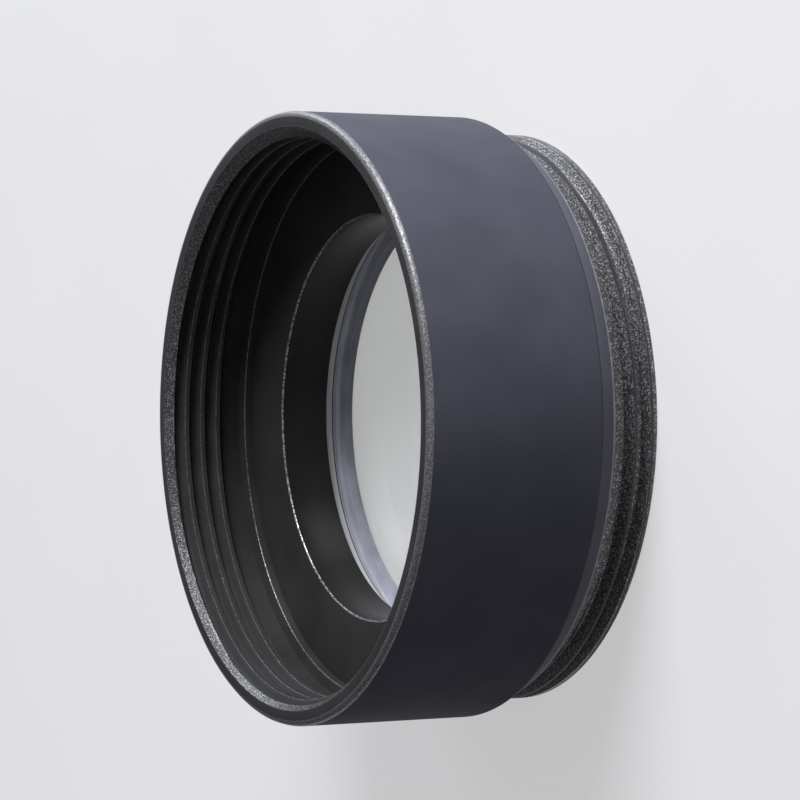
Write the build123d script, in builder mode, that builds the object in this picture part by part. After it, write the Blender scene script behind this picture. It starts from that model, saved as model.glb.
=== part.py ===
"""A screw-in focal reducer: a turned barrel that holds a cemented pair of lenses.

Lengths are in millimetres. The optical axis is Z, the barrel stands on the end of its male thread at
Z = 0, and the female thread opens upwards.
"""

import os
from math import radians, sqrt, tan

from build123d import *

# Thread form, the same at both ends, so that reducers and spacers stack
thread_major_radius = 12.7
thread_pitch = 25.4 / 32
thread_flank_angle = 30
thread_narrow_flat = 0.10
thread_wide_flat = 0.20
thread_groove_extra = 0.05

# Collar, the plain outside of the barrel
collar_wall = 0.70
rim_break = 0.25
back_chamfer_length = 0.90
back_chamfer_depth = 0.50

# Male thread behind the collar
male_stub_length = 2.20
male_end_chamfer = 0.06
male_end_land = 0.25
male_groove_count = 1

# Front recess, with the female thread, its relief groove and the step under it
lead_in = 0.45
female_first_groove = 0.60
female_groove_count = 3
relief_width = 0.90
relief_back_taper = 0.12
step_height = 0.38

# Walls from the male thread's neck inwards: the retaining ring's seat, then the bore for the glass
stub_wall = 1.50
ring_step = 0.70
rear_chamfer = 0.55

# Flange that the lens stack bears on, and the grey ring behind it
flange_thickness = 2.30
flange_lip = 1.02
flange_edge_break = 0.07
spacer_thickness = 0.55
spacer_lip = 0.65

# Cemented pair of lenses
lens_edge_break = 0.12
front_curve = 60.0
cement_curve = 60.0
back_curve = 200.0
front_lens_edge = 0.80
back_lens_centre = 0.85

# Slotted ring that holds the pair from behind
rear_recess = 0.80
ring_thickness = 0.85
ring_lip = 0.65
ring_edge_break = 0.08
ring_slot_count = 2
ring_slot_width = 1.20
ring_slot_depth = 0.35
ring_runout = 0.25

# Clearances
bore_clearance = 0.03
seat_clearance = 0.02
cement_gap = 0.02


def sag(curve, radius):
    """How far a spherical surface has fallen away from its apex at this radius."""
    return curve - sqrt(curve**2 - radius**2)


def lens_surface(apex, curve, side, edge):
    """Three points of a spherical surface, from its apex out to this edge radius.

    The surface rises towards the edge where side is 1, and falls where it is -1.
    """
    return [(r, apex + side * sag(curve, r)) for r in (0, edge / 2, edge)]


def groove(depth, mouth, floor):
    """Corners of a thread groove, from its mouth at 0 to its floor."""
    return (0, -mouth / 2), (depth, -floor / 2), (depth, floor / 2), (0, mouth / 2)


# Radii, from the thread inwards
flank = tan(radians(thread_flank_angle))
thread_depth = (thread_pitch - thread_narrow_flat - thread_wide_flat) / 2 / flank
relief_depth = thread_depth + thread_groove_extra
thread_minor_radius = thread_major_radius - thread_depth
collar_radius = thread_major_radius + collar_wall
neck_radius = thread_major_radius - relief_depth
ring_seat_radius = neck_radius - stub_wall
ring_radius = ring_seat_radius - bore_clearance
lens_bore_radius = ring_seat_radius - ring_step
lens_radius = lens_bore_radius - bore_clearance
bevel_radius = lens_radius - lens_edge_break
flange_bore_radius = lens_radius - flange_lip
spacer_bore_radius = lens_radius - spacer_lip
ring_bore_radius = lens_radius - ring_lip

# Heights of the lens stack, from the male end up to the flange
ring_front = rear_recess + ring_thickness
back_lens_low = ring_front + seat_clearance - sag(back_curve, ring_bore_radius)
back_lens_rim = back_lens_low + sag(back_curve, lens_radius)
cement_low = back_lens_low + back_lens_centre
front_lens_low = cement_low + cement_gap
front_lens_rim = front_lens_low + sag(cement_curve, lens_radius) + front_lens_edge
front_lens_top = front_lens_rim + sag(front_curve, lens_radius)
spacer_back = front_lens_top - sag(front_curve, spacer_bore_radius) + seat_clearance
flange_back = spacer_back + spacer_thickness
flange_front = flange_back + flange_thickness

# Front recess, from the flange up to the front face
step_top = flange_front + step_height
relief_low = step_top + relief_back_taper
relief_high = relief_low + relief_width
female_thread_low = relief_high + relief_depth * flank
female_last_groove = female_thread_low + (thread_pitch + thread_wide_flat) / 2
barrel_length = female_last_groove + (female_groove_count - 1) * thread_pitch + female_first_groove

# Male thread, from its end up to its neck
male_first_groove = male_end_chamfer + male_end_land + (thread_pitch - thread_narrow_flat) / 2
male_thread_high = male_first_groove + (male_groove_count - 0.5) * thread_pitch + thread_narrow_flat / 2
neck_low = male_thread_high + relief_depth * flank
ring_seat_end = ring_front + ring_runout

male_grooves = [(thread_major_radius, male_first_groove + n * thread_pitch) for n in range(male_groove_count)]
female_grooves = [
    (thread_minor_radius, female_last_groove + n * thread_pitch) for n in range(female_groove_count)
]

# Barrel: half of its section, turned about the optical axis
with BuildPart() as barrel:
    with BuildSketch(Plane.XZ):
        with BuildLine():
            Polyline(
                # Male end, thread and neck
                (ring_seat_radius + rear_chamfer, 0),
                (thread_major_radius - male_end_chamfer, 0),
                (thread_major_radius, male_end_chamfer),
                (thread_major_radius, male_thread_high),
                (neck_radius, neck_low),
                (neck_radius, male_stub_length),
                # Shoulder, chamfer and collar
                (collar_radius - back_chamfer_depth, male_stub_length),
                (collar_radius, male_stub_length + back_chamfer_length),
                (collar_radius, barrel_length - rim_break),
                (collar_radius - rim_break, barrel_length),
                # Front recess
                (thread_minor_radius + lead_in, barrel_length),
                (thread_minor_radius, barrel_length - lead_in),
                (thread_minor_radius, female_thread_low),
                (thread_minor_radius + relief_depth, relief_high),
                (thread_minor_radius + relief_depth, relief_low),
                (thread_minor_radius, step_top),
                (thread_minor_radius, flange_front),
                # Flange and the bores behind it
                (flange_bore_radius + flange_edge_break, flange_front),
                (flange_bore_radius, flange_front - flange_edge_break),
                (flange_bore_radius, flange_back),
                (lens_bore_radius, flange_back),
                (lens_bore_radius, ring_seat_end),
                (ring_seat_radius, ring_seat_end),
                (ring_seat_radius, rear_chamfer),
                close=True,
            )
        make_face()
        with Locations(*male_grooves):
            Polygon(
                *groove(-thread_depth, thread_pitch - thread_narrow_flat, thread_wide_flat),
                align=None,
                mode=Mode.SUBTRACT,
            )
        with Locations(*female_grooves):
            Polygon(
                *groove(thread_depth, thread_pitch - thread_wide_flat, thread_narrow_flat),
                align=None,
                mode=Mode.SUBTRACT,
            )
    revolve(axis=Axis.Z)

# Thin grey ring between the flange and the glass
with BuildPart() as spacer_ring:
    with BuildSketch(Plane.XY.offset(spacer_back)):
        Circle(lens_radius)
        Circle(spacer_bore_radius, mode=Mode.SUBTRACT)
    extrude(amount=spacer_thickness)

# Front element: both faces bulge
with BuildPart() as front_lens:
    with BuildSketch(Plane.XZ):
        with BuildLine():
            front_face = ThreePointArc(*lens_surface(front_lens_top, front_curve, -1, bevel_radius))
            cemented_face = ThreePointArc(*lens_surface(front_lens_low, cement_curve, 1, lens_radius))
            Polyline(front_face @ 1, (lens_radius, front_lens_rim - lens_edge_break), cemented_face @ 1)
            Line(front_face @ 0, cemented_face @ 0)
        make_face()
    revolve(axis=Axis.Z)

# Back element: hollow in front, to fit the front element, and slightly bulged behind
with BuildPart() as back_lens:
    with BuildSketch(Plane.XZ):
        with BuildLine():
            hollow_face = ThreePointArc(*lens_surface(cement_low, cement_curve, 1, lens_radius))
            rear_face = ThreePointArc(*lens_surface(back_lens_low, back_curve, 1, bevel_radius))
            Polyline(rear_face @ 1, (lens_radius, back_lens_rim + lens_edge_break), hollow_face @ 1)
            Line(hollow_face @ 0, rear_face @ 0)
        make_face()
    revolve(axis=Axis.Z)

# Retaining ring, with slots across its back face for a spanner
with BuildPart() as retaining_ring:
    with BuildSketch(Plane.XY.offset(rear_recess)):
        Circle(ring_radius)
        Circle(ring_bore_radius, mode=Mode.SUBTRACT)
    extrude(amount=ring_thickness)
    chamfer(retaining_ring.edges().group_by(Axis.Z)[0], ring_edge_break)
    with BuildSketch(Plane.XY.offset(rear_recess)):
        with PolarLocations((ring_bore_radius + ring_radius) / 2, ring_slot_count):
            Rectangle(2 * (ring_radius - ring_bore_radius), ring_slot_width)
    extrude(amount=ring_slot_depth, mode=Mode.SUBTRACT)

barrel.part.label = "barrel"
spacer_ring.part.label = "spacer_ring"
front_lens.part.label = "front_lens"
back_lens.part.label = "back_lens"
retaining_ring.part.label = "retaining_ring"

os.makedirs("parts", exist_ok=True)
for piece in (barrel, spacer_ring, front_lens, back_lens, retaining_ring):
    export_step(piece.part, f"parts/{piece.part.label}.step")
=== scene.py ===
"""The focal reducer's looks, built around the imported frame.

The frame is in metres, with the optical axis as Z and the male end at Z = 0. The shape is worked out in
millimetres and turned into metres where a mesh is made. Grains, patches, lamps and the floor are in metres.
"""

from math import cos, pi, radians, sin, tan

import bmesh
import bpy
import numpy as np
from mathutils import Matrix, Vector


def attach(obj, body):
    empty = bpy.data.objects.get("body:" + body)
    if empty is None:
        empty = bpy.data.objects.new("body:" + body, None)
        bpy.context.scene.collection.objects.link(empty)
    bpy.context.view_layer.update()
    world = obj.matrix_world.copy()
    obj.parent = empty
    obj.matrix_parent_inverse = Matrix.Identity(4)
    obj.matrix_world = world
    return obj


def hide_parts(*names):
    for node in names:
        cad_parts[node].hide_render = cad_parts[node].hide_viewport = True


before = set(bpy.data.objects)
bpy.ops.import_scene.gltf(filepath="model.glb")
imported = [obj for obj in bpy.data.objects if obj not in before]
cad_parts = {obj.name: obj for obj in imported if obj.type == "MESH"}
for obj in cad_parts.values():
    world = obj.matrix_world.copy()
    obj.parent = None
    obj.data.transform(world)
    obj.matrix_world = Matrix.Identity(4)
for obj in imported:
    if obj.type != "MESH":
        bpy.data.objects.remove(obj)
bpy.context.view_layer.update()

MM = 0.001
scene = bpy.context.scene


def sag(curve, radius):
    """How far a spherical surface has fallen away from its apex at this radius."""
    return curve - np.sqrt(curve**2 - radius**2)


# Thread form, the same at both ends
PITCH = 25.4 / 32
FLANK = tan(radians(30))
NARROW_FLAT = 0.10
WIDE_FLAT = 0.20
MAJOR = 12.7
DEPTH = (PITCH - NARROW_FLAT - WIDE_FLAT) / 2 / FLANK
RELIEF_DEPTH = DEPTH + 0.05

# Radii, from the thread inwards
MINOR = MAJOR - DEPTH
RELIEF = MINOR + RELIEF_DEPTH
NECK = MAJOR - RELIEF_DEPTH
COLLAR = MAJOR + 0.70
RING_SEAT = NECK - 1.50
LENS_BORE = RING_SEAT - 0.70
LENS = LENS_BORE - 0.03
FLANGE_BORE = LENS - 1.02
RING_BORE = LENS - 0.65

# Heights of the male end, up to the collar
REAR_CHAMFER = 0.55
END_CHAMFER = 0.06
END_LAND = END_CHAMFER + 0.25
MALE_GROOVE = END_LAND + (PITCH - NARROW_FLAT) / 2
MALE_HIGH = MALE_GROOVE + (PITCH + NARROW_FLAT) / 2
NECK_LOW = MALE_HIGH + RELIEF_DEPTH * FLANK
SHOULDER_LOW = 2.20
SHOULDER_LENGTH = 0.90
SHOULDER_DEPTH = 0.50

# Heights of the lens stack, from the retaining ring up to the flange
FRONT_CURVE = 60.0
CEMENT_CURVE = 60.0
BACK_CURVE = 200.0
LENS_BREAK = 0.12
FRONT_LENS_EDGE = 0.80
BACK_LENS_CENTRE = 0.85
SEAT_GAP = 0.02
CEMENT_GAP = 0.02
REAR_RECESS = 0.80
RING_THICKNESS = 0.85
RING_FRONT = REAR_RECESS + RING_THICKNESS
RING_SEAT_END = RING_FRONT + 0.25
LENS_LOW = RING_FRONT + SEAT_GAP - sag(BACK_CURVE, RING_BORE)
FRONT_LENS_LOW = LENS_LOW + BACK_LENS_CENTRE + CEMENT_GAP
LENS_TOP = FRONT_LENS_LOW + sag(CEMENT_CURVE, LENS) + FRONT_LENS_EDGE + sag(FRONT_CURVE, LENS)
SPACER_LOW = LENS_TOP - sag(FRONT_CURVE, RING_BORE) + SEAT_GAP
FLANGE_LOW = SPACER_LOW + 0.55

# Heights of the front recess, from the flange up to the front face
FLANGE_HIGH = FLANGE_LOW + 2.30
STEP_HIGH = FLANGE_HIGH + 0.38
RELIEF_LOW = STEP_HIGH + 0.12
RELIEF_HIGH = RELIEF_LOW + 0.90
FEMALE_LOW = RELIEF_HIGH + RELIEF_DEPTH * FLANK
LENGTH = FEMALE_LOW + (PITCH + WIDE_FLAT) / 2 + 2 * PITCH + 0.60
LEAD_IN = 0.45
RIM_BREAK = 0.25

# Distances from a groove's centre at which rows run: its floor, its flank, and the crest past its corner
MALE_ROWS = [0.0, 0.09, 0.11, 0.22, 0.33, 0.352]
FEMALE_ROWS = [0.0, 0.04, 0.06, 0.17, 0.28, 0.305]

# Level rows among the helical ones, and on the long plain faces
MALE_LEVELS = [0.03, END_CHAMFER, 0.12, 0.18, 0.24, END_LAND, 0.40, 0.50, MALE_HIGH, 1.20, 1.30]
FEMALE_LEVELS = [8.44, 8.53, FEMALE_LOW, LENGTH - LEAD_IN, 10.86, 10.93, 11.00, 11.07, 11.14, 11.21, 11.27]
NECK_LEVEL = 1.90
COLLAR_LEVELS = (4.5, 6.5, 8.5)
FLANGE_LEVEL = 5.7

# Widths of the worn bands and of the shoulder's painted highlight, radii of the rounded edges, and the widest
# strip that counts as a crest's corner
CORNER_WEAR = 0.022
SHOULDER_HIGHLIGHT_BAND = 0.08
CHAMFER_WEAR = 0.05
MOUTH_WEAR = 0.03
SMALL_ROUND = 0.05
FLANGE_ROUND = 0.07
SPACER_BREAK = 0.04
NARROW_STRIP = 0.03

# Where the helices stand: the side that faces the camera, the far wall of the recess that it looks at, and
# the depth below the front face at which a crest passes that wall
FACING = radians(270)
AWAY = radians(90)
CREST_BELOW_FACE = 1.0
FEMALE_GROOVE = LENGTH - CREST_BELOW_FACE - PITCH / 2

# How finely the pieces are turned: points around, of which the first and last coincide, and across the glass
BARREL_POINTS = 361
RING_POINTS = 257
LENS_POINTS = 193
LENS_STEPS = 25

# What merged() welds and drops, in metres and square metres
WELD = 2e-7
SHORT_EDGE = 1e-7
NO_AREA = 1e-14


# Meshes
def merged(name, vertices, faces, materials, slots, sharp):
    """A mesh object with its double points welded and its flat faces dropped."""
    mesh = bpy.data.meshes.new(name)
    mesh.from_pydata(vertices.tolist(), [], faces)
    for m in materials:
        mesh.materials.append(m)
    mesh.polygons.foreach_set("material_index", slots)
    obj = bpy.data.objects.new(name, mesh)
    scene.collection.objects.link(obj)
    bm = bmesh.new()
    bm.from_mesh(mesh)
    bmesh.ops.remove_doubles(bm, verts=bm.verts, dist=WELD)
    bmesh.ops.dissolve_degenerate(bm, edges=bm.edges, dist=SHORT_EDGE)
    empty = [f for f in bm.faces if f.calc_area() < NO_AREA]
    bmesh.ops.delete(bm, geom=empty, context="FACES")
    bmesh.ops.recalc_face_normals(bm, faces=bm.faces)
    bm.to_mesh(mesh)
    bm.free()
    mesh.shade_smooth()
    mesh.set_sharp_from_angle(angle=sharp)
    return obj


def turned(name, radius, height, materials, slots, sharp=radians(30)):
    """A closed ring of rows turned about Z, where radius and height are arrays of rows by points around.

    slots has the slot of the strip after each row, as one number or as one for each face of the strip.
    """
    rows, points = radius.shape
    angle = np.linspace(0, 2 * pi, points)
    xyz = np.stack([radius * np.cos(angle), radius * np.sin(angle), height], 2).reshape(-1, 3) * MM
    faces, kinds = [], []
    for j, slot in enumerate(slots):
        a, b = j * points, (j + 1) % rows * points
        faces += [(a + k, a + k + 1, b + k + 1, b + k) for k in range(points - 1)]
        kinds += np.broadcast_to(slot, points - 1).tolist()
    return merged(name, xyz, faces, materials, kinds, sharp)


def rounded(before, corner, after, radius, steps=4):
    """Points of an arc that replaces a corner of a profile."""
    before, corner, after = (np.array(p, float) for p in (before, corner, after))
    u, w = before - corner, after - corner
    u, w = u / np.hypot(*u), w / np.hypot(*w)
    half = np.arccos(np.clip(u @ w, -1, 1)) / 2
    centre = corner + (u + w) / np.hypot(*(u + w)) * radius / np.sin(half)
    start = corner + u * radius / np.tan(half) - centre
    end = corner + w * radius / np.tan(half) - centre
    sweep = np.arctan2(start[0] * end[1] - start[1] * end[0], start @ end)
    across = np.array((-start[1], start[0]))
    return [tuple(centre + start * cos(a) + across * sin(a)) for a in sweep * np.linspace(0, 1, steps)]


def level(points, around):
    """Rows of one radius and height each, all the way round."""
    p = np.array(points, float)
    return np.repeat(p[:, :1], around, 1), np.repeat(p[:, 1:], around, 1)


def strip(*corners):
    """Rows through corners of the barrel's profile, each given as (r, z, slot of the strip after it).

    A corner that also has a radius and a slot is rounded, and the rounding has that slot. The first and last
    corners stay sharp.
    """
    points, kinds = [], []
    for j, (r, z, slot, *rounding) in enumerate(corners):
        if rounding:
            arc = rounded(corners[j - 1][:2], (r, z), corners[j + 1][:2], rounding[0])
            points += arc
            kinds += [rounding[1]] * (len(arc) - 1) + [slot]
        else:
            points.append((r, z))
            kinds.append(slot)
    return *level(points, BARREL_POINTS), kinds


# Threads
def male_envelope(z):
    """The outline of the male end without its groove: end chamfer, crests, run-out and neck."""
    chamfer = MAJOR - END_CHAMFER + z
    runout = MAJOR - (z - MALE_HIGH) / FLANK
    return np.maximum(np.minimum(np.minimum(chamfer, MAJOR), runout), NECK)


def female_envelope(z):
    """The outline of the recess without its grooves: the relief groove's run-out and the lead-in."""
    lead = MINOR + LEAD_IN - (LENGTH - z)
    runout = RELIEF - (z - RELIEF_HIGH) / FLANK
    return np.maximum(lead, np.minimum(runout, RELIEF))


def thread_rows(low, high, centre, at, distances, floor_flat, levels):
    """Rows that follow a right-hand helix between two heights, with level rows among them.

    centre is the height of one groove's centre at the angle at. Each point comes as its height, its distance
    from the nearest groove's centre, and the groove's depth there.
    """
    climb = PITCH * np.linspace(0, 2 * pi, BARREL_POINTS) / (2 * pi)
    offsets = sorted(set([-u for u in distances] + distances + [PITCH / 2]))
    shift = centre - at / (2 * pi) * PITCH
    first = int(np.floor((low - PITCH - shift) / PITCH)) - 1
    last = int(np.ceil((high - shift) / PITCH)) + 1
    starts = np.array([shift + n * PITCH + u for n in range(first, last + 1) for u in offsets])
    helical = np.clip(starts[:, None] + climb[None, :], low, high)
    plain = np.repeat(np.array(levels)[:, None], BARREL_POINTS, 1)
    z = np.sort(np.concatenate([helical, plain]), 0)
    u = (z - shift - climb + PITCH / 2) % PITCH - PITCH / 2
    return z, u, np.clip(DEPTH - (np.abs(u) - floor_flat / 2) / FLANK, 0, DEPTH)


def male_thread():
    """Radii, heights and slots of the male thread's rows. Its end land stays whole up to END_LAND."""
    z, u, depth = thread_rows(0.0, NECK_LOW, MALE_GROOVE, FACING, MALE_ROWS, WIDE_FLAT, MALE_LEVELS)
    land = MAJOR - np.maximum(z - END_LAND, 0) / FLANK
    r = np.minimum(np.maximum(MAJOR - depth, land), male_envelope(z))
    return r, z, thread_slots(u, MALE_ROWS[-1], THREAD)


def female_thread():
    """Radii, heights and slots of the female thread's rows, from the front face down."""
    z, u, depth = thread_rows(
        RELIEF_HIGH, LENGTH, FEMALE_GROOVE, AWAY, FEMALE_ROWS, NARROW_FLAT, FEMALE_LEVELS)
    r = np.maximum(MINOR + depth, female_envelope(z))
    r, z, u = r[::-1], z[::-1], u[::-1]
    slots = thread_slots(u, FEMALE_ROWS[-1], IN)
    middle = (z[:-1] + z[1:])[:, :-1] / 2
    return r, z, [np.where(m > LENGTH - LEAD_IN, LEAD, s) for m, s in zip(middle, slots)] + slots[-1:]


def thread_slots(u, corner, plain):
    """Slot of the strip after each row: the crest's broken corners, its flat, and the rest."""
    rows = []
    for here, after in zip(u, np.roll(u, -1, 0)):
        middle, gap = np.abs((here + after) / 2), np.abs(after - here)
        broken = (middle > corner - CORNER_WEAR) & (middle < corner) & (gap < NARROW_STRIP)
        flat = (middle >= corner) | (gap > PITCH / 2)
        rows.append(np.where(broken, EDGE, np.where(flat, CREST, plain))[:-1])
    return rows


# Shader nodes
def material(name, colour, roughness=0.5, **sockets):
    """A material, its node tree and its main shader. Underscores stand for the spaces in sockets' names."""
    m = bpy.data.materials.new(name)
    m.use_nodes = True
    shader = m.node_tree.nodes["Principled BSDF"]
    shader.inputs["Base Color"].default_value = (*colour, 1)
    shader.inputs["Roughness"].default_value = roughness
    shader.inputs["Metallic"].default_value = 0.0
    for k, v in sockets.items():
        shader.inputs[k.replace("_", " ")].default_value = v
    return m, m.node_tree, shader


def add(tree, kind, **values):
    """A new node, with values for its sockets or its own settings."""
    n = tree.nodes.new(kind)
    for k, v in values.items():
        if k in n.inputs:
            n.inputs[k].default_value = v
        else:
            setattr(n, k, v)
    return n


def noise(tree, size, detail=2.0, roughness=0.5):
    """Noise whose features are this many metres across."""
    place = add(tree, "ShaderNodeTexCoord")
    mapping = add(tree, "ShaderNodeMapping")
    mapping.inputs["Scale"].default_value = (1 / size, 1 / size, 1 / size)
    tree.links.new(place.outputs["Object"], mapping.inputs["Vector"])
    n = add(tree, "ShaderNodeTexNoise", Scale=1.0, Detail=detail, Roughness=roughness)
    tree.links.new(mapping.outputs["Vector"], n.inputs["Vector"])
    return n.outputs["Fac"]


def rgba(value):
    """Four channels, from a colour or from one grey value."""
    return (*value, 1) if isinstance(value, tuple) else (value, value, value, 1)


def vary(tree, socket, source, low, high, value_low, value_high):
    """Drives a socket from one value, up to where the source is low, to another, from where it is high."""
    r = add(tree, "ShaderNodeValToRGB")
    r.color_ramp.elements[0].position = low
    r.color_ramp.elements[1].position = high
    r.color_ramp.elements[0].color = rgba(value_low)
    r.color_ramp.elements[1].color = rgba(value_high)
    tree.links.new(source, r.inputs["Fac"])
    tree.links.new(r.outputs["Color"], socket)


def bump(tree, shader, height, distance):
    """Roughens a shader's surface by this many metres."""
    b = add(tree, "ShaderNodeBump", Strength=1.0, Distance=distance)
    tree.links.new(height, b.inputs["Height"])
    tree.links.new(b.outputs["Normal"], shader.inputs["Normal"])


def blend(m, share, first, second):
    """Makes a material's surface a blend of two shaders, by the share of the second."""
    tree = m.node_tree
    mix = add(tree, "ShaderNodeMixShader")
    tree.links.new(share, mix.inputs[0])
    tree.links.new(first, mix.inputs[1])
    tree.links.new(second, mix.inputs[2])
    tree.links.new(mix.outputs["Shader"], tree.nodes["Material Output"].inputs["Surface"])


# Finishes
def shade(value, tint=1.03):
    """A neutral colour, very slightly blue, or warm where the tint is below 1."""
    return (value, value, value * tint)


def anodised(name, dark, pale, rough_low, rough_high, grain, grain_height, specular, patch=2.5e-3):
    """Black anodised aluminium with a fine blasted grain, in dark and pale patches."""
    m, tree, shader = material(name, dark, Specular_IOR_Level=specular)
    vary(tree, shader.inputs["Base Color"], noise(tree, patch, 3), 0.35, 0.65, dark, pale)
    vary(tree, shader.inputs["Roughness"], noise(tree, 6e-5), 0.3, 0.7, rough_low, rough_high)
    bump(tree, shader, noise(tree, grain), grain_height)
    return m


def blasted(name, colour, glint, low, high, grain, grain_height, rough, specular):
    """Black anodised aluminium whose blasted grains glint where the black has worn off their tops."""
    m, tree, shader = material(name, colour, rough, Specular_IOR_Level=specular)
    grains = noise(tree, grain, 2, 0.6)
    vary(tree, shader.inputs["Base Color"], grains, low, high, colour, glint)
    vary(tree, shader.inputs["Metallic"], grains, low, high, 0.0, 1.0)
    vary(tree, shader.inputs["Roughness"], noise(tree, 2 * grain), 0.3, 0.7, rough - 0.05, rough + 0.05)
    bump(tree, shader, grains, grain_height)
    return m


def grey_plastic():
    m, tree, shader = material("grey_ring", (0.34, 0.34, 0.35))
    colours = (0.46, 0.46, 0.47), (0.50, 0.50, 0.51)
    vary(tree, shader.inputs["Base Color"], noise(tree, 5e-4, 3), 0.3, 0.7, *colours)
    vary(tree, shader.inputs["Roughness"], noise(tree, 2e-4, 3), 0.3, 0.7, 0.45, 0.6)
    bump(tree, shader, noise(tree, 6e-5), 3e-6)
    return m


def coated_glass():
    """Clear glass that lets the lamps' light through unbent, so that it casts no dark shadow."""
    m, tree, shader = material("coated_glass", (0.97, 0.98, 0.97), 0.0, Transmission_Weight=1.0, IOR=1.52)
    vary(tree, shader.inputs["Roughness"], noise(tree, 3e-3, 3), 0.3, 0.7, 0.0, 0.02)
    clear = add(tree, "ShaderNodeBsdfTransparent")
    path = add(tree, "ShaderNodeLightPath")
    blend(m, path.outputs["Is Shadow Ray"], shader.outputs["BSDF"], clear.outputs["BSDF"])
    return m


def ground_glass():
    # Painted reflection: the ground edge's grey is tinted lavender and patched to stand for the sky's
    # reflection seen in the glass.
    m, tree, shader = material("ground_glass_edge_painted_reflection", (0.40, 0.41, 0.47), 0.6, Specular_IOR_Level=0.1)
    colours = (0.32, 0.33, 0.38), (0.46, 0.47, 0.54)
    vary(tree, shader.inputs["Base Color"], noise(tree, 1.6e-3, 3), 0.35, 0.65, *colours)
    return m


def satin_aluminium_painted_reflection():
    # Painted reflection: pale satin aluminium, tinted lavender and patched to stand for the sky's reflection
    # seen in the glass over it.
    m, tree, shader = material("satin_ring_painted_reflection", (0.38, 0.39, 0.45), Specular_IOR_Level=0.2)
    colours = (0.32, 0.33, 0.38), (0.44, 0.45, 0.52)
    vary(tree, shader.inputs["Base Color"], noise(tree, 1.6e-3, 3), 0.35, 0.65, *colours)
    vary(tree, shader.inputs["Roughness"], noise(tree, 3e-4, 3), 0.3, 0.7, 0.44, 0.56)
    return m


def pale_floor():
    """Paint that looks pale but lights the part only a little, with half of its look from its own glow."""
    m, tree, shader = material("pale_floor", (0.5, 0.5, 0.5), 0.6)
    path = add(tree, "ShaderNodeLightPath")
    direct = add(tree, "ShaderNodeMath", operation="MAXIMUM")
    tree.links.new(path.outputs["Is Camera Ray"], direct.inputs[0])
    tree.links.new(path.outputs["Is Transmission Ray"], direct.inputs[1])
    seen = add(tree, "ShaderNodeMath", operation="MAXIMUM")
    tree.links.new(direct.outputs[0], seen.inputs[0])
    tree.links.new(path.outputs["Is Glossy Ray"], seen.inputs[1])
    paint = add(tree, "ShaderNodeMixRGB", Color1=(0.22, 0.22, 0.22, 1))
    tree.links.new(seen.outputs[0], paint.inputs["Fac"])
    colours = (0.76, 0.76, 0.77), (0.80, 0.80, 0.81)
    vary(tree, paint.inputs["Color2"], noise(tree, 0.02, 3), 0.3, 0.7, *colours)
    tree.links.new(paint.outputs["Color"], shader.inputs["Base Color"])
    glow = add(tree, "ShaderNodeEmission", Color=(0.97, 0.97, 0.98, 1), Strength=1.0)
    share = add(tree, "ShaderNodeMath", operation="MULTIPLY")
    tree.links.new(seen.outputs[0], share.inputs[0])
    share.inputs[1].default_value = 0.5
    blend(m, share.outputs[0], shader.outputs["BSDF"], glow.outputs["Emission"])
    return m


# The barrel's finishes, in the order of their slots
OUT, IN, EDGE, THREAD, CREST, RIM, FACE, BORE, FLANGE_EDGE, LEAD, SHOULDER, CHAMFER = range(12)
# Painted sheen: the outside is the same black anodising as the recess, painted lighter and lavender to stand
# for the sky's sheen on it.
outside = anodised(
    "anodised_outside_painted_sheen", (0.081, 0.083, 0.105), (0.093, 0.095, 0.119), 0.58, 0.66, 7e-5, 5e-6, 0.05)
inside = anodised("anodised_inside", shade(0.024, 0.97), shade(0.032, 0.97), 0.45, 0.55, 9e-5, 8e-6, 0.3)
edges = blasted("worn_edge", shade(0.03), shade(0.35), 0.46, 0.70, 9e-5, 1e-5, 0.34, 0.8)
flanks = blasted("anodised_thread", shade(0.026), shade(0.60), 0.50, 0.75, 8e-5, 1.8e-5, 0.36, 0.8)
crests = anodised("worn_crest", shade(0.022), shade(0.030), 0.42, 0.52, 9e-5, 1e-5, 0.5)
rim = blasted("anodised_rim", shade(0.08), shade(0.42), 0.42, 0.76, 8e-5, 8e-6, 0.44, 0.8)
face = anodised("anodised_face", shade(0.030), shade(0.040), 0.46, 0.54, 9e-5, 1e-5, 0.5)
bore = anodised("anodised_bore", shade(0.010), shade(0.014), 0.28, 0.34, 9e-5, 1e-6, 0.25)
flange_edge = blasted("worn_flange_edge", shade(0.02), shade(0.75), 0.44, 0.66, 9e-5, 1e-5, 0.30, 0.9)
lead = blasted("blasted_lead_in", shade(0.020), shade(0.55), 0.50, 0.76, 7e-5, 1.4e-5, 0.33, 1.0)
# Painted highlight: the shoulder's rounded edge and a band past it are painted pale to stand for a highlight
# that the lamps don't give, as these faces turn away from them.
shoulder = anodised(
    "shoulder_painted_highlight", (0.28, 0.28, 0.31), (0.46, 0.46, 0.50), 0.40, 0.50, 9e-5, 8e-6, 0.5, 3e-4)
# Painted light: the chamfer under the collar faces partly down, away from the lamps, and is painted lighter
# than the outside to make up for that shade.
chamfer = anodised(
    "anodised_chamfer_painted_light", (0.124, 0.127, 0.156), (0.140, 0.143, 0.174), 0.52, 0.60, 7e-5, 5e-6, 0.15)

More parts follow.
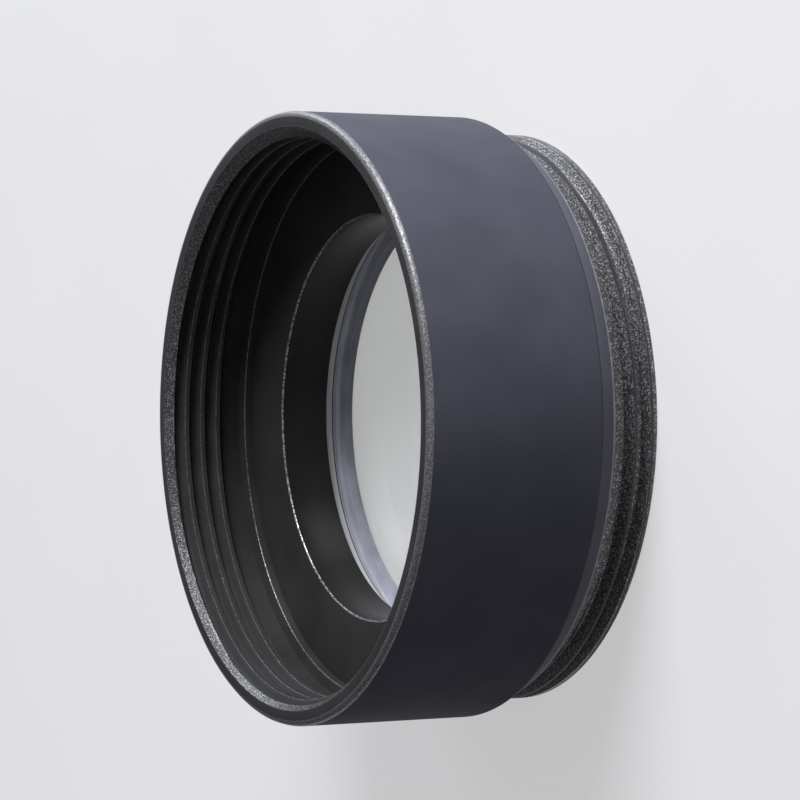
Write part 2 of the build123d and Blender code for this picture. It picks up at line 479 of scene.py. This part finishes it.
# Barrel, from the male end outwards over its thread, up the outside, down the recess and out at the back
sections = [
    strip((RING_SEAT + REAR_CHAMFER, 0, OUT)),
    male_thread(),
    strip((NECK, NECK_LEVEL, OUT), (NECK, SHOULDER_LOW, OUT),
          # The shoulder's rounded corner and the band past it are painted pale as a highlight, and the
          # chamfer after them lighter against its shade.
          (COLLAR - SHOULDER_DEPTH, SHOULDER_LOW, SHOULDER, SMALL_ROUND, SHOULDER),
          (COLLAR - SHOULDER_DEPTH + SHOULDER_HIGHLIGHT_BAND,
           SHOULDER_LOW + SHOULDER_HIGHLIGHT_BAND * SHOULDER_LENGTH / SHOULDER_DEPTH, CHAMFER),
          (COLLAR, SHOULDER_LOW + SHOULDER_LENGTH, IN),
          (COLLAR, SHOULDER_LOW + SHOULDER_LENGTH + CHAMFER_WEAR, OUT),
          *((COLLAR, z, OUT) for z in COLLAR_LEVELS),
          (COLLAR, LENGTH, FACE, RIM_BREAK, RIM), (MINOR + LEAD_IN + MOUTH_WEAR, LENGTH, EDGE)),
    female_thread(),
    strip((RELIEF, RELIEF_LOW, IN), (MINOR, STEP_HIGH, IN, SMALL_ROUND, EDGE), (MINOR, FLANGE_HIGH, IN),
          (FLANGE_BORE, FLANGE_HIGH, BORE, FLANGE_ROUND, FLANGE_EDGE), (FLANGE_BORE, FLANGE_LEVEL, BORE),
          (FLANGE_BORE, FLANGE_LOW, IN), (LENS_BORE, FLANGE_LOW, IN), (LENS_BORE, RING_SEAT_END, IN),
          (RING_SEAT, RING_SEAT_END, IN), (RING_SEAT, REAR_CHAMFER, IN)),
]
radius, height = (np.concatenate([section[k] for section in sections]) for k in (0, 1))
finishes = [outside, inside, edges, flanks, crests, rim, face, bore, flange_edge, lead, shoulder, chamfer]
slots = [slot for section in sections for slot in section[2]]
barrel = turned("barrel_shell", radius, height, finishes, slots, radians(35))
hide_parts("barrel")
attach(barrel, "root")


# Grey ring
def ring(name, inner, outer, low, high, bevel, finish, foot):
    """A plain ring with broken edges. Its lower inner edge and its back have the finish called foot."""
    corners = [(inner + bevel, low), (outer - bevel, low), (outer, low + bevel), (outer, high - bevel),
               (outer - bevel, high), (inner + bevel, high), (inner, high - bevel), (inner, low + 2 * bevel)]
    return turned(name, *level(corners, RING_POINTS), [finish, foot], [1, 0, 0, 0, 0, 0, 0, 1])


spacer = ring("grey_spacer", RING_BORE, LENS, SPACER_LOW, FLANGE_LOW, SPACER_BREAK, grey_plastic(), inside)
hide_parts("spacer_ring")
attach(spacer, "root")

# Glass: the cemented pair as one body, with a ground edge
front_r = np.linspace(0, 1, LENS_STEPS) * (LENS - LENS_BREAK)
edge_z = [LENS_TOP - sag(FRONT_CURVE, LENS) - LENS_BREAK, LENS_LOW + sag(BACK_CURVE, LENS) + LENS_BREAK]
lens_r = np.concatenate([front_r, [LENS, LENS], front_r[::-1]])
lens_z = np.concatenate([
    LENS_TOP - sag(FRONT_CURVE, front_r), edge_z, LENS_LOW + sag(BACK_CURVE, front_r[::-1])])
lens_slots = [0] * (LENS_STEPS - 1) + [1] * 3 + [0] * LENS_STEPS
doublet = turned(
    "cemented_doublet", *level(np.stack([lens_r, lens_z], 1), LENS_POINTS),
    [coated_glass(), ground_glass()], lens_slots)
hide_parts("front_lens", "back_lens")
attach(doublet, "root")

# Retaining ring, on the solid's own mesh
retaining_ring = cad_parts["retaining_ring"]
retaining_ring.data.materials.clear()
retaining_ring.data.materials.append(satin_aluminium_painted_reflection())

# Floor
FLOOR_HALF = 1.5
floor_corners = [(x * FLOOR_HALF, y * FLOOR_HALF, 0) for x, y in ((-1, -1), (1, -1), (1, 1), (-1, 1))]
floor_mesh = bpy.data.meshes.new("floor")
floor_mesh.from_pydata(floor_corners, [], [(0, 1, 2, 3)])
floor_mesh.materials.append(pale_floor())
floor = bpy.data.objects.new("floor", floor_mesh)
scene.collection.objects.link(floor)

# World and lamps
world = bpy.data.worlds.new("studio")
scene.world = world
world.use_nodes = True
background = world.node_tree.nodes["Background"]
background.inputs["Color"].default_value = (0.93, 0.94, 1.0, 1)
background.inputs["Strength"].default_value = 0.13

LAMP_TARGET = Vector((0, 0, 0.005))
KEY_RISE = radians(28)
KEY_SWING = radians(13)
KEY_REACH = 0.34


def lamp(name, place, size, power, colour):
    """A round lamp that points at the middle of the part."""
    data = bpy.data.lights.new(name, "AREA")
    data.shape = "DISK"
    data.size = size
    data.energy = power
    data.color = colour
    obj = bpy.data.objects.new(name, data)
    obj.location = place
    obj.rotation_mode = "QUATERNION"
    obj.rotation_quaternion = (LAMP_TARGET - Vector(place)).to_track_quat("-Z", "Y")
    scene.collection.objects.link(obj)


key_place = (
    KEY_REACH * cos(KEY_RISE) * cos(KEY_SWING), -KEY_REACH * cos(KEY_RISE) * sin(KEY_SWING),
    KEY_REACH * sin(KEY_RISE))
lamp("sky", key_place, 0.20, 1.60, (0.94, 0.95, 1.0))
lamp("front", (0.0, -0.24, 0.20), 0.16, 0.06, (1.0, 1.0, 1.0))
lamp("back", (0.24, 0.20, 0.08), 0.12, 0.35, (0.88, 0.91, 1.0))

# Camera, fitted to the photograph: the angle between the optical axis and the line of sight, the axis's lean
# in the picture, the centre of the front rim in collar radii, and the focal length in pixels
VIEW_ANGLE = radians(62.01)
VIEW_ROLL = radians(-0.34)
RIM_SEEN_AT = Vector((-0.3832, 0.0608, 10.773)) * COLLAR * MM
FOCAL_PIXELS = 3307
PHOTO_WIDTH = 800
SENSOR_WIDTH = 36

# Directions as the photograph has them (x right, y down, z away), the first along the axis into the part, and
# then the same directions as the frame has them
axis_seen = Vector((sin(VIEW_ANGLE) * cos(VIEW_ROLL), sin(VIEW_ROLL), cos(VIEW_ANGLE) * cos(VIEW_ROLL)))
down = Vector((0, 1, 0))
across_seen = (down - axis_seen * down.dot(axis_seen)).normalized()
directions_seen = Matrix((axis_seen, across_seen, axis_seen.cross(across_seen))).transposed()
directions_real = Matrix(((0, 0, -1), (-1, 0, 0), (0, 1, 0))).transposed()
to_frame = directions_real @ directions_seen.transposed()
flip = Matrix(((1, 0, 0), (0, -1, 0), (0, 0, -1)))
rim_centre = Vector((0, 0, LENGTH * MM))

camera_data = bpy.data.cameras.new("camera")
camera_data.lens = FOCAL_PIXELS / PHOTO_WIDTH * SENSOR_WIDTH
camera_data.sensor_width = SENSOR_WIDTH
camera_data.clip_start, camera_data.clip_end = 0.01, 10
camera = bpy.data.objects.new("camera", camera_data)
camera.matrix_world = Matrix.Translation(rim_centre - to_frame @ RIM_SEEN_AT) @ (to_frame @ flip).to_4x4()
scene.collection.objects.link(camera)
scene.camera = camera

scene.view_settings.view_transform = "Standard"
